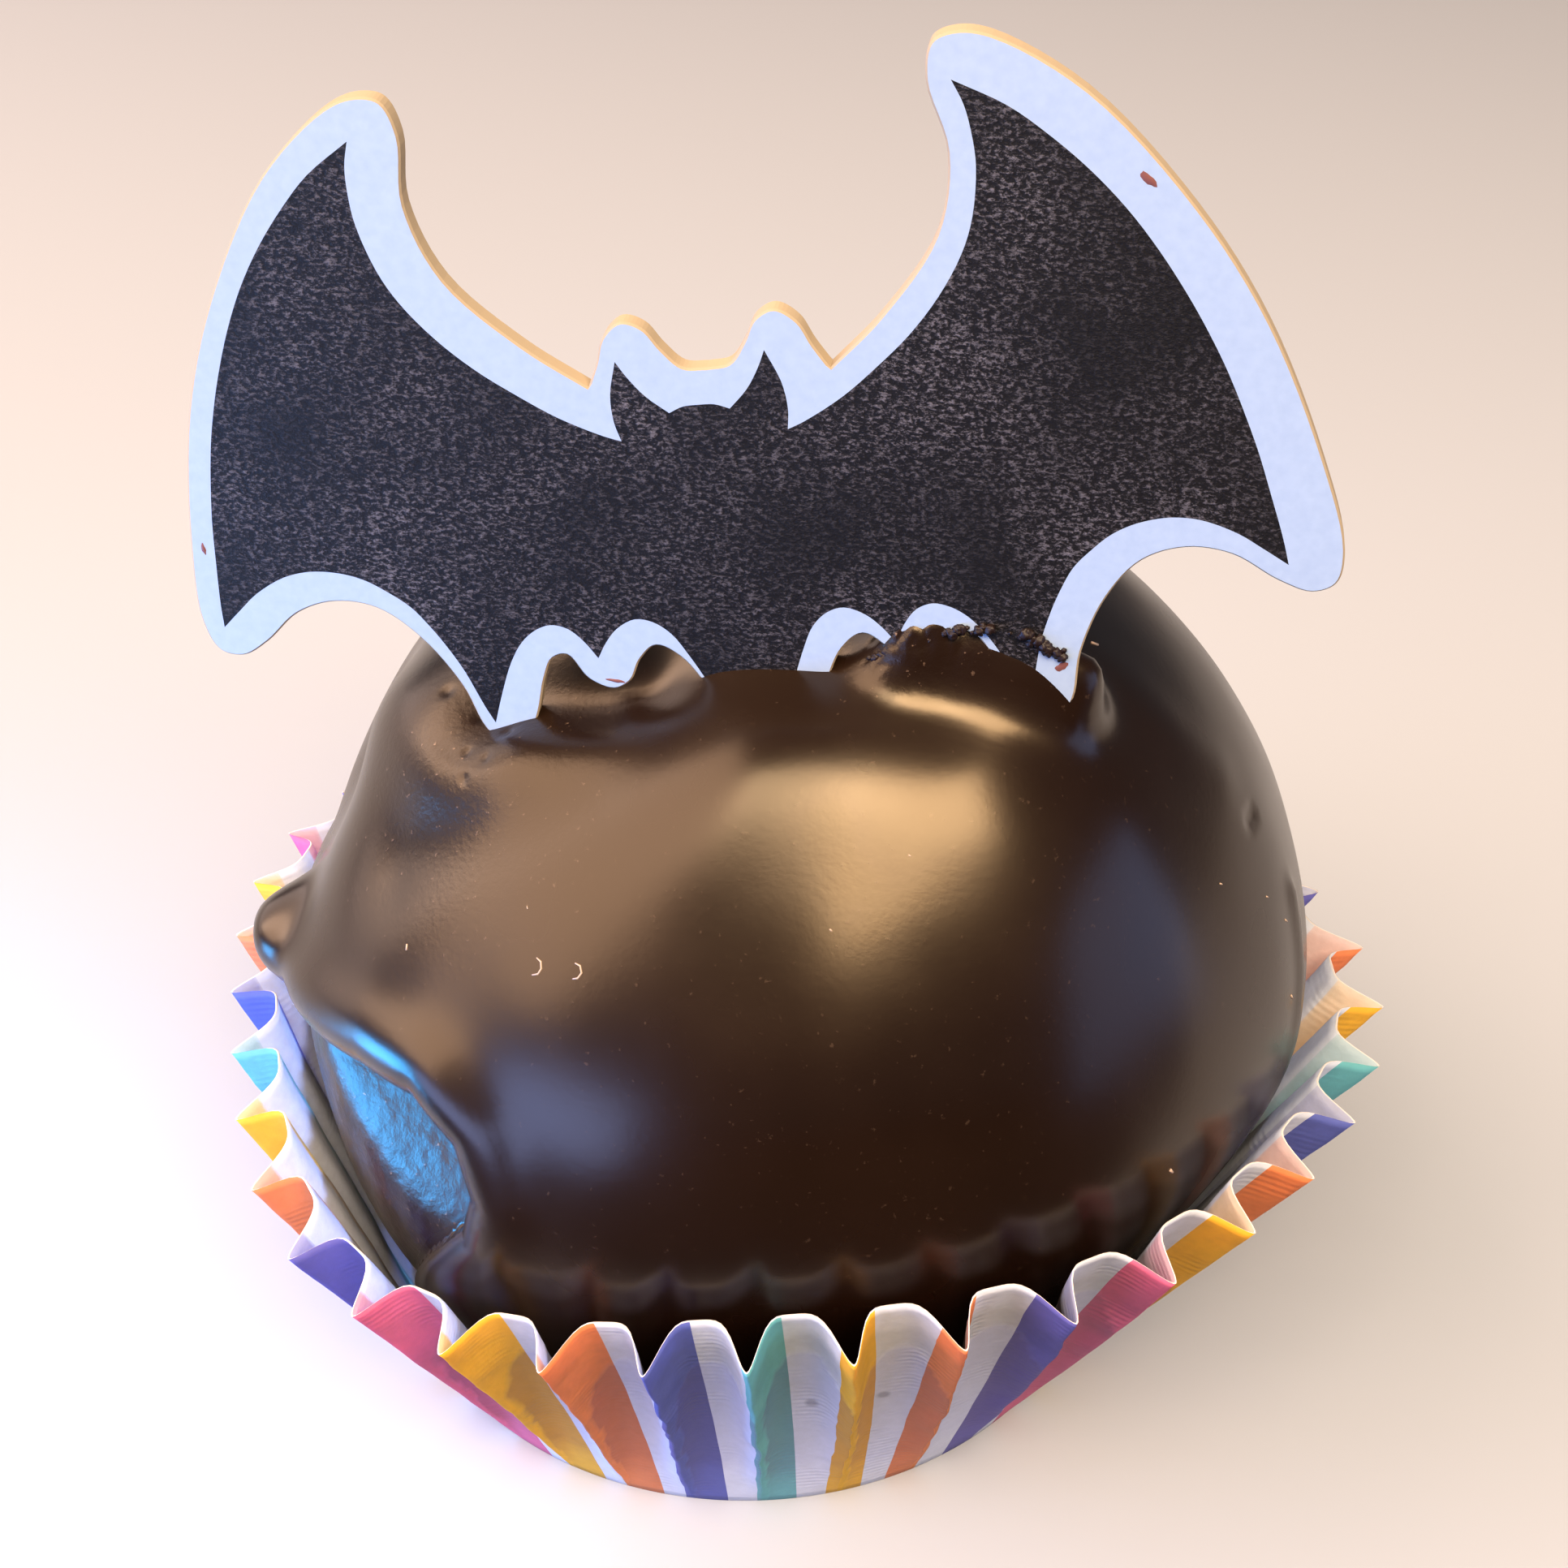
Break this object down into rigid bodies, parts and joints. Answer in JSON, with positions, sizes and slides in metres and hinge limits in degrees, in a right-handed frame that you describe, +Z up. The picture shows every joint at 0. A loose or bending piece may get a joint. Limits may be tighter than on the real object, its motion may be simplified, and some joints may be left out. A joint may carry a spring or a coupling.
{
  "type": "chocolate-coated cake pop in a paper case",
  "caption": "Dark chocolate-coated cake ball in a small fluted paper case with rainbow stripes, with a die-cut bat plaque standing in its top.",
  "frame": {"origin": "the middle of the paper case's flat base, on the surface it stands on", "axes": "+Z up, -Y towards the front, where the plaque's printed face looks, +X to the right seen from the front"},
  "size_m": [0.0507, 0.0504, 0.0604],
  "materials": {
    "chocolate": "satin dark chocolate coat",
    "card": "matte white card with a black print",
    "case_paper": "matte greaseproof paper with coloured stripes"
  },
  "bodies": {
    "root": {"cake": "chocolate", "topper": "card", "paper_case": "case_paper"}
  },
  "joints": []
}
